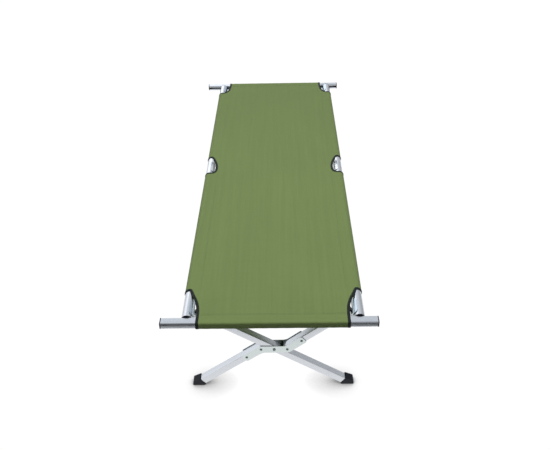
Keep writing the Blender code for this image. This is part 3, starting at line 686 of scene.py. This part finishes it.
def bar_loop(x, end):
    """Middle line of an end sleeve, as (|y|, z): the hem, then round the bar to the seam."""
    off = GAP + CLOTH / 2
    back, face = BAR_LOW.y - off, BAR_HIGH.y + off
    low, high = BAR_LOW.z - off, BAR_HIGH.z + off
    hem = []
    for i in range(HEM_POINTS):
        y = TAIL_Y + (SEAM_Y - 0.003 - TAIL_Y) * i / (HEM_POINTS - 1)
        clear = bed_z(x, end * min(y + BAR_PULL, SEAM_Y))
        hem.append((y, clear - 1.5 * CLOTH - GAP))
    hem.append((SEAM_Y + 0.0015, hem[-1][1] - 0.0007))
    corners = (
        (back, high - 0.0040, 0.0020), (back, low, 0.0034), (face, low, 0.0069),
        (face, high, 0.0069), (SEAM_Y, high, 0.0),
    )
    points = list(hem)
    before = Vector(hem[-1])
    for i, (y, z, radius) in enumerate(corners):
        here = Vector((y, z))
        if not radius:
            points.append((y, z))
            break
        after = Vector(corners[i + 1][:2])
        a, b = (before - here).normalized(), (after - here).normalized()
        half = a.angle(b) / 2
        reach = radius / math.tan(half)
        start, stop = here + a * reach, here + b * reach
        for k in range(7):
            t = k / 6
            points.append(tuple(start * (1 - t) ** 2 + here * 2 * t * (1 - t) + stop * t**2))
        before = here
    return points


def make_end_cloths():
    cloths = {}
    for end, sign in ENDS.items():
        reach = CURVES[f"corner_{end}"][-1].x
        columns = 64
        grid = []
        for i in range(columns + 1):
            x = reach * (2 * i / columns - 1)
            ripple = 0.00025 * math.sin(130 * x + 1.3 * math.sin(31 * x))
            row = []
            for k, (y, z) in enumerate(bar_loop(x, sign)):
                lift = 0.0 if k < HEM_POINTS + 3 or y < SEAM_Y + 0.001 else ripple
                row.append(Vector((MID_X + x, sign * (y + lift), z)))
            grid.append(row)
        cloth = shell(f"end_cloth_{end}", grid, u_from=0.3)
        finish_piece(cloth, CLOTH_MATERIAL, f"bar_{end}", squashed=True)
        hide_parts(f"end_sleeve_{end}")
        loop = [Vector(p) for p in bar_loop(0.0, sign)]
        around = sum((b - a).length for a, b in zip(loop, loop[1:]))
        cloths[end] = (cloth, (2 * reach, around))
    return cloths


# ---- bindings and stitching ---------------------------------------------------------------
def bed_normal(x, y):
    step = 0.002
    slope_x = (bed_z(x + step, y) - bed_z(x - step, y)) / (2 * step) if abs(x) < RAIL_X - 0.004 else 0
    slope_y = (bed_z(x, y + step) - bed_z(x, y - step)) / (2 * step)
    return Vector((-slope_x, -slope_y, 1)).normalized()


def edge_binding(name, curve, sign, body, opening):
    """A binding along one of the bed cloth's cut-outs; opening is a point inside the cut-out."""
    path, normals, sides, under = [], [], [], []
    for i, p in enumerate(curve):
        before, after = curve[max(0, i - 1)], curve[min(len(curve) - 1, i + 1)]
        ahead = (after - before).normalized()
        side = Vector((-ahead.y, ahead.x))
        if side.dot(Vector(opening) - p) < 0:
            side = -side
        path.append(Vector((MID_X + sign * p.x, p.y, bed_z(p.x, p.y) - CLOTH / 2)))
        normals.append(bed_normal(p.x, p.y))
        sides.append(Vector((sign * side.x, side.y, 0)))
        under.append(TAPE * ramp(p.x, 0.284, 0.272))
    piece = tape(name, path, normals, sides, under)
    return finish_piece(piece, TAPE_MATERIAL, body, squashed=True)


def make_bindings():
    on_bed = {"front": [], "rear": []}
    for side, sign in SIDES.items():
        for half, curve, opening in (
            ("front", "corner_front", (0.32, -0.93)),
            ("rear", "corner_rear", (0.32, 0.93)),
            ("front", "mid_near", (0.31, 0.03)),
            ("rear", "mid_far", (0.31, 0.05)),
        ):
            name = f"binding_{curve}_{side}"
            piece = edge_binding(name, CURVES[curve], sign, f"left_{half}", opening)
            on_bed[half].append(piece)
    return on_bed


def make_hooks():
    """Bindings round the ends of the rail sleeves."""
    made = {}
    for side, sign in SIDES.items():
        axis = LEFT_X if sign < 0 else RIGHT_X
        for half, stations in HOOK_Y.items():
            made[side, half] = []
            for tag, y, out in (("a", stations[0], -1), ("b", stations[1], 1)):
                path, normals, sides = [], [], []
                count = len(SECTION)
                for i, p in enumerate(SECTION[:-1]):
                    ahead = SECTION[min(i + 1, count - 1)] - SECTION[max(i - 1, 0)]
                    normal = Vector((-ahead.y, ahead.x)).normalized()
                    if i == 0:
                        normal = Vector((0, 1))
                    path.append(Vector((axis + sign * p.x, y, RAIL_Z + p.y)))
                    normals.append(Vector((sign * normal.x, 0, normal.y)))
                    sides.append(Vector((0, out, 0)))
                piece = tape(f"binding_hook_{side}_{half}_{tag}", path, normals, sides, [0] * len(path))
                finish_piece(piece, TAPE_MATERIAL, f"{side}_{half}")
                made[side, half].append(piece)
    return made


def make_bar_bindings():
    made = {}
    for end, sign in ENDS.items():
        reach = CURVES[f"corner_{end}"][-1].x
        made[end] = []
        for side, hand in SIDES.items():
            loop = [Vector(p) for p in bar_loop(reach, sign)][HEM_POINTS:]
            path, normals, sides = [], [], []
            for i, p in enumerate(loop):
                ahead = loop[min(i + 1, len(loop) - 1)] - loop[max(i - 1, 0)]
                normal = Vector((ahead.y, -ahead.x)).normalized()
                path.append(Vector((MID_X + hand * reach, sign * p.x, p.y)))
                normals.append(Vector((0, sign * normal.x, normal.y)))
                sides.append(Vector((hand, 0, 0)))
            piece = tape(f"binding_bar_{end}_{side}", path, normals, sides, [0] * len(path))
            finish_piece(piece, TAPE_MATERIAL, f"bar_{end}", squashed=True)
            made[end].append(piece)
    return made


def row_on_bed(points):
    path = [Vector((MID_X + x, y, bed_z(x, y))) for x, y in points]
    return path, [bed_normal(x, y) for x, y in points]


def join_pieces(name, pieces):
    """Joins finished meshes of one kind before they ride anywhere."""
    work = bmesh.new()
    for piece in pieces:
        work.from_mesh(piece.data)
        bpy.data.objects.remove(piece)
    mesh = bpy.data.meshes.new(name)
    work.to_mesh(mesh)
    work.free()
    obj = bpy.data.objects.new(name, mesh)
    bpy.context.scene.collection.objects.link(obj)
    return obj


def make_seams():
    """Stitching on the bed cloth: across at the bars, along the rail sleeves and by the bindings."""
    made = {}
    for half, sign in ENDS.items():
        reach = CURVES[f"corner_{half}"][-1].x - SEAM_END
        shares = [i / ROW_STEPS for i in range(ROW_STEPS + 1)]
        rows = [[(reach * (2 * t - 1), sign * (SEAM_Y - inset)) for t in shares] for inset in SEAM_ROWS]
        low, high = HOOK_Y[half][0] + SIDE_END, HOOK_Y[half][1] - SIDE_END
        for hand in (-1, 1):
            rows.append([(hand * (RAIL_X - FLAP_X), low + (high - low) * t) for t in shares])
        pieces = []
        for i, row in enumerate(rows):
            path, normals = row_on_bed(row)
            pieces.append(stitches(f"row_{half}_{i}", path, normals))
        for curve in EDGES[half]:
            for hand in (-1, 1):
                path, normals = inner_row(CURVES[curve], hand)
                row = stitches(f"row_{curve}_{hand}", path, normals, pitch=0.0026, length=0.0017)
                pieces.append(row)
        seam = join_pieces(f"stitching_{half}", pieces)
        made[half] = finish_piece(seam, THREAD, f"left_{half}", squashed=True)
    return made


def inner_row(curve, hand):
    """Path of a stitch row on a binding, near the edge that lies on the cloth."""
    path, normals = [], []
    for i, p in enumerate(curve):
        before, after = curve[max(0, i - 1)], curve[min(len(curve) - 1, i + 1)]
        ahead = (after - before).normalized()
        side = Vector((-ahead.y, ahead.x))
        if side.x > 0:
            side = -side
        q = p + side * (TAPE_IN - EDGE_ROW)
        path.append(Vector((MID_X + hand * q.x, q.y, bed_z(p.x, p.y) + TAPE)))
        normals.append(bed_normal(p.x, p.y))
    return path, normals


beds = make_beds()
sleeves = make_sleeves()
end_cloths = make_end_cloths()
edge_tapes = make_bindings()
hooks = make_hooks()
bar_tapes = make_bar_bindings()
seams = make_seams()


# ---- small hard pieces --------------------------------------------------------------------
def dome(verts, faces, centre, out, radius, height):
    """Adds a low round rivet head on a plate's face; out is -1 or 1 along Y."""
    count, base = DOME_SIDES, len(verts)
    for share, rise in ((1.0, -0.0004), (1.0, 0.25), (0.86, 0.66), (0.55, 0.92), (0.2, 1.0)):
        lift = rise if rise < 0 else rise * height
        for k in range(count):
            a = 2 * math.pi * k / count
            offset = (radius * share * math.cos(a), out * lift, radius * share * math.sin(a))
            verts.append(centre + Vector(offset))
    for ring in range(4):
        for k in range(count):
            a, b = base + ring * count + k, base + ring * count + (k + 1) % count
            faces.append((a, b, b + count, a + count))
    faces.append(tuple(base + k for k in range(count))[::-1])
    faces.append(tuple(base + 4 * count + k for k in range(count)))


def make_rivet_heads():
    """Dark round heads on the bent plates, four on each face."""
    for place in PLACES:
        cross = Vector(JOINTS[f"cross_{place}"]["pos_m"])
        top = Vector(JOINTS[f"top_{place}_right"]["pos_m"])
        low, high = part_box(f"foot_{place}_left")
        ground = Vector(((low.x + high.x) / 2, cross.y, FOOT_LEVEL))
        spots = []
        for inner, goal in ((SPLIT_X, top), (-SPLIT_X, ground)):
            first = cross + Vector((inner, 0, 0))
            spots += [first, first + (goal - first).normalized() * OUTER_RIVET]
        near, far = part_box(f"dogleg_plates_{place}")
        verts, faces = [], []
        for spot in spots:
            for face, out in ((near.y + HEAD, -1), (far.y - HEAD, 1)):
                centre = Vector((spot.x, face, spot.z))
                dome(verts, faces, centre, out, DOME_RADIUS, HEAD + DOME_RISE)
        heads = new_piece(f"rivet_heads_{place}", verts, faces, sharp=50)
        finish_piece(heads, RIVET, f"{place}_split")


def make_leg_plugs():
    """Black plugs in the open top ends of the legs."""
    size = middle("leg_mid_lower_arm", 1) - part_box("leg_mid_lower_arm")[0][1] - PLUG_WALL
    depth = PLUG_HEIGHT
    for place in PLACES:
        top_left = Vector(JOINTS["scissor" if place == "mid" else f"scissor_{place}"]["pos_m"])
        top_right = Vector(JOINTS[f"top_{place}_right"]["pos_m"])
        cross = Vector(JOINTS[f"cross_{place}"]["pos_m"])
        outer = cross + Vector((SPLIT_X, 0, 0))
        for side, top, foot, body in (
            ("left", top_left, cross, f"{place}_straight"),
            ("right", top_right, outer, f"{place}_split"),
        ):
            out = (top - foot).normalized()
            flat = Vector((0, 1, 0)).cross(out).normalized()
            centre = top + out * PLUG_START
            verts, faces = [], []
            rings = ((-0.004, 0.94, 0.0016), (0.0, 0.94, 0.0016), (0.0002, 1.06, 0.0024),
                     (depth * 0.7, 1.04, 0.0028), (depth, 0.88, 0.0032))
            for rise, grow, corner in rings:
                for quarter in range(4):
                    for k in range(4):
                        angle = math.pi / 2 * (quarter + k / 3)
                        sx = 1 if quarter in (0, 3) else -1
                        sy = 1 if quarter in (0, 1) else -1
                        x = sx * (size * grow - corner) + corner * math.cos(angle)
                        y = sy * (size * grow - corner) + corner * math.sin(angle)
                        verts.append(centre + out * rise + flat * x + Vector((0, y, 0)))
            count = 16
            for r in range(len(rings) - 1):
                for k in range(count):
                    a, b = r * count + k, r * count + (k + 1) % count
                    faces.append((a, b, b + count, a + count))
            faces.append(tuple(range(count))[::-1])
            faces.append(tuple(range(4 * count, 5 * count)))
            plug = new_piece(f"leg_plug_{place}_{side}", verts, faces, sharp=30)
            finish_piece(plug, PLASTIC, body)


make_leg_plugs()
make_rivet_heads()


# ---- stage, light and camera --------------------------------------------------------------
def glow(name, colour, strength, albedo=0.0):
    s = Shader(name, (albedo, albedo, albedo), 0.9)
    s.set("Specular IOR Level", 0.0)
    s.set("Emission Color", (*colour, 1.0))
    s.set("Emission Strength", strength)
    return s.material


def make_plane(name, low, high, height, material):
    corners = [(low[0], low[1], 0), (high[0], low[1], 0), (high[0], high[1], 0), (low[0], high[1], 0)]
    mesh = bpy.data.meshes.new(name)
    mesh.from_pydata(corners, [], [(0, 1, 2, 3)])
    mesh.materials.append(material)
    plane = bpy.data.objects.new(name, mesh)
    bpy.context.scene.collection.objects.link(plane)
    plane.location.z = height
    return plane


def make_floor():
    """A white floor with a painted contact shadow that darkens it only close to what stands on it, and
    what metal sees of it.
    """
    s = Shader("pale_floor_painted_shadow", (0.0, 0.0, 0.0), 0.9)
    s.set("Specular IOR Level", 0.0)
    s.set("Emission Strength", 1.02)
    # painted contact shadow: ambient occlusion near the feet and legs darkens the floor's glow
    near = s.node("ShaderNodeAmbientOcclusion", samples=12)
    near.inputs["Distance"].default_value = 0.085
    shade = s.node("ShaderNodeMapRange", values=(near.outputs["AO"], 0.45, 0.97, 0.24, 1.0))
    s.tree.links.new(shade.outputs[0], s.principled.inputs["Emission Color"])
    floor = make_plane("floor", (-30, -30), (30, 30), -0.0005, s.material)
    floor.visible_diffuse = floor.visible_glossy = False
    card = make_plane("bounce_card", (-3.5, -1.30), (3.5, 4.0), -0.002, glow("card", (1, 1, 1), 0.92))
    shade = make_plane("shade_card", (-0.36, -0.80), (0.36, 0.93), -0.001, glow("shade", (1, 1, 1), 0.30))
    card.visible_camera = shade.visible_camera = False


def make_backdrop():
    work = bmesh.new()
    bmesh.ops.create_icosphere(work, subdivisions=4, radius=28)
    mesh = bpy.data.meshes.new("backdrop")
    work.to_mesh(mesh)
    work.free()
    mesh.materials.append(glow("white_backdrop", (1.0, 1.0, 1.0), 1.0))
    dome = bpy.data.objects.new("backdrop", mesh)
    bpy.context.scene.collection.objects.link(dome)
    for ray in ("diffuse", "glossy", "transmission", "shadow", "volume_scatter"):
        setattr(dome, f"visible_{ray}", False)


def make_world():
    """Soft surroundings: bright at the left, dimmer at the right, even overhead, dark in front."""
    world = bpy.data.worlds.new("studio")
    bpy.context.scene.world = world
    world.use_nodes = True
    tree = world.node_tree
    add, link = tree.nodes.new, tree.links.new
    direction = add("ShaderNodeTexCoord")
    split = add("ShaderNodeSeparateXYZ")
    link(direction.outputs["Generated"], split.inputs[0])

    def level(axis, stops):
        """A grey level read from one component of the direction, -1 to 1."""
        stretch = add("ShaderNodeMath")
        stretch.operation = "MULTIPLY_ADD"
        stretch.inputs[1].default_value = 0.5
        stretch.inputs[2].default_value = 0.5
        link(split.outputs[axis], stretch.inputs[0])
        band = add("ShaderNodeValToRGB")
        band.color_ramp.interpolation = "EASE"
        elements = band.color_ramp.elements
        while len(elements) < len(stops):
            elements.new(0.5)
        for element, (place, grey) in zip(elements, stops):
            element.position = place / 2 + 0.5
            element.color = (grey, grey, grey, 1.0)
        link(stretch.outputs[0], band.inputs[0])
        return band.outputs[0]

    def mix(share, low, high):
        node = add("ShaderNodeMix")
        node.data_type = "VECTOR"
        node.factor_mode = "NON_UNIFORM"
        link(share, node.inputs[1])
        link(low, node.inputs[4])
        link(high, node.inputs[5])
        return node.outputs[1]

    def times(value, other):
        node = add("ShaderNodeVectorMath")
        node.operation = "MULTIPLY"
        link(value, node.inputs[0])
        if isinstance(other, tuple):
            node.inputs[1].default_value = other
        else:
            link(other, node.inputs[1])
        return node.outputs[0]

    around = level(0, (
        (-1.0, 0.85), (-0.66, 0.90), (-0.40, 1.28), (-0.10, 1.22), (0.08, 0.66), (0.35, 0.54),
        (0.62, 0.44), (1.0, 0.40),
    ))
    above = level(0, ((-1.0, 0.90), (-0.14, 0.84), (0.12, 0.86), (1.0, 0.60)))
    front = level(0, ((-1.0, 0.12), (-0.15, 0.13), (0.13, 0.34), (1.0, 0.42)))
    back = mix(level(2, ((0.56, 0.0), (0.68, 1.0))), around, above)
    whole = mix(level(1, ((-0.45, 0.0), (0.30, 1.0))), front, back)
    height = level(2, ((-1.0, 0.12), (-0.05, 0.20), (0.08, 1.20), (0.50, 1.15), (0.75, 0.85)))
    colour = times(times(whole, height), (0.96, 0.985, 1.03))
    link(colour, tree.nodes["Background"].inputs["Color"])
    tree.nodes["Background"].inputs["Strength"].default_value = 1.0


def make_light(name, place, target, size, power):
    """A rectangular light that polished metal does not mirror."""
    data = bpy.data.lights.new(name, "AREA")
    data.shape = "RECTANGLE"
    data.size, data.size_y = size
    data.energy = power
    light = bpy.data.objects.new(name, data)
    bpy.context.scene.collection.objects.link(light)
    light.location = place
    light.rotation_mode = "QUATERNION"
    light.rotation_quaternion = (Vector(target) - Vector(place)).to_track_quat("-Z", "Y")
    light.visible_glossy = False


CAMERA_AT = (0.0521, -2.4631, 1.9357)
CAMERA_TURN = (36.6192, -0.9481, -1.2578)  # pitch down, yaw and roll, in degrees
LENS = 41.2138


def make_camera():
    data = bpy.data.cameras.new("camera")
    data.sensor_width = 36.0
    data.lens = LENS
    camera = bpy.data.objects.new("camera", data)
    bpy.context.scene.collection.objects.link(camera)
    pitch, yaw, roll = (math.radians(a) for a in CAMERA_TURN)
    along = math.cos(pitch)
    ahead = Vector((math.sin(yaw) * along, math.cos(yaw) * along, -math.sin(pitch)))
    level = Vector((math.cos(yaw), -math.sin(yaw), 0))
    upright = level.cross(ahead)
    right = level * math.cos(roll) + upright * math.sin(roll)
    up = upright * math.cos(roll) - level * math.sin(roll)
    turn = Matrix((right, up, -ahead)).transposed().to_4x4()
    camera.matrix_world = Matrix.Translation(CAMERA_AT) @ turn
    bpy.context.scene.camera = camera


make_floor()
make_backdrop()
make_world()
make_light("overhead", (0.0, -0.35, 3.2), (0, -0.1, 0.3), (3.0, 4.0), 92)
make_camera()
bpy.context.scene.view_settings.view_transform = "Standard"

bpy.context.view_layer.update()
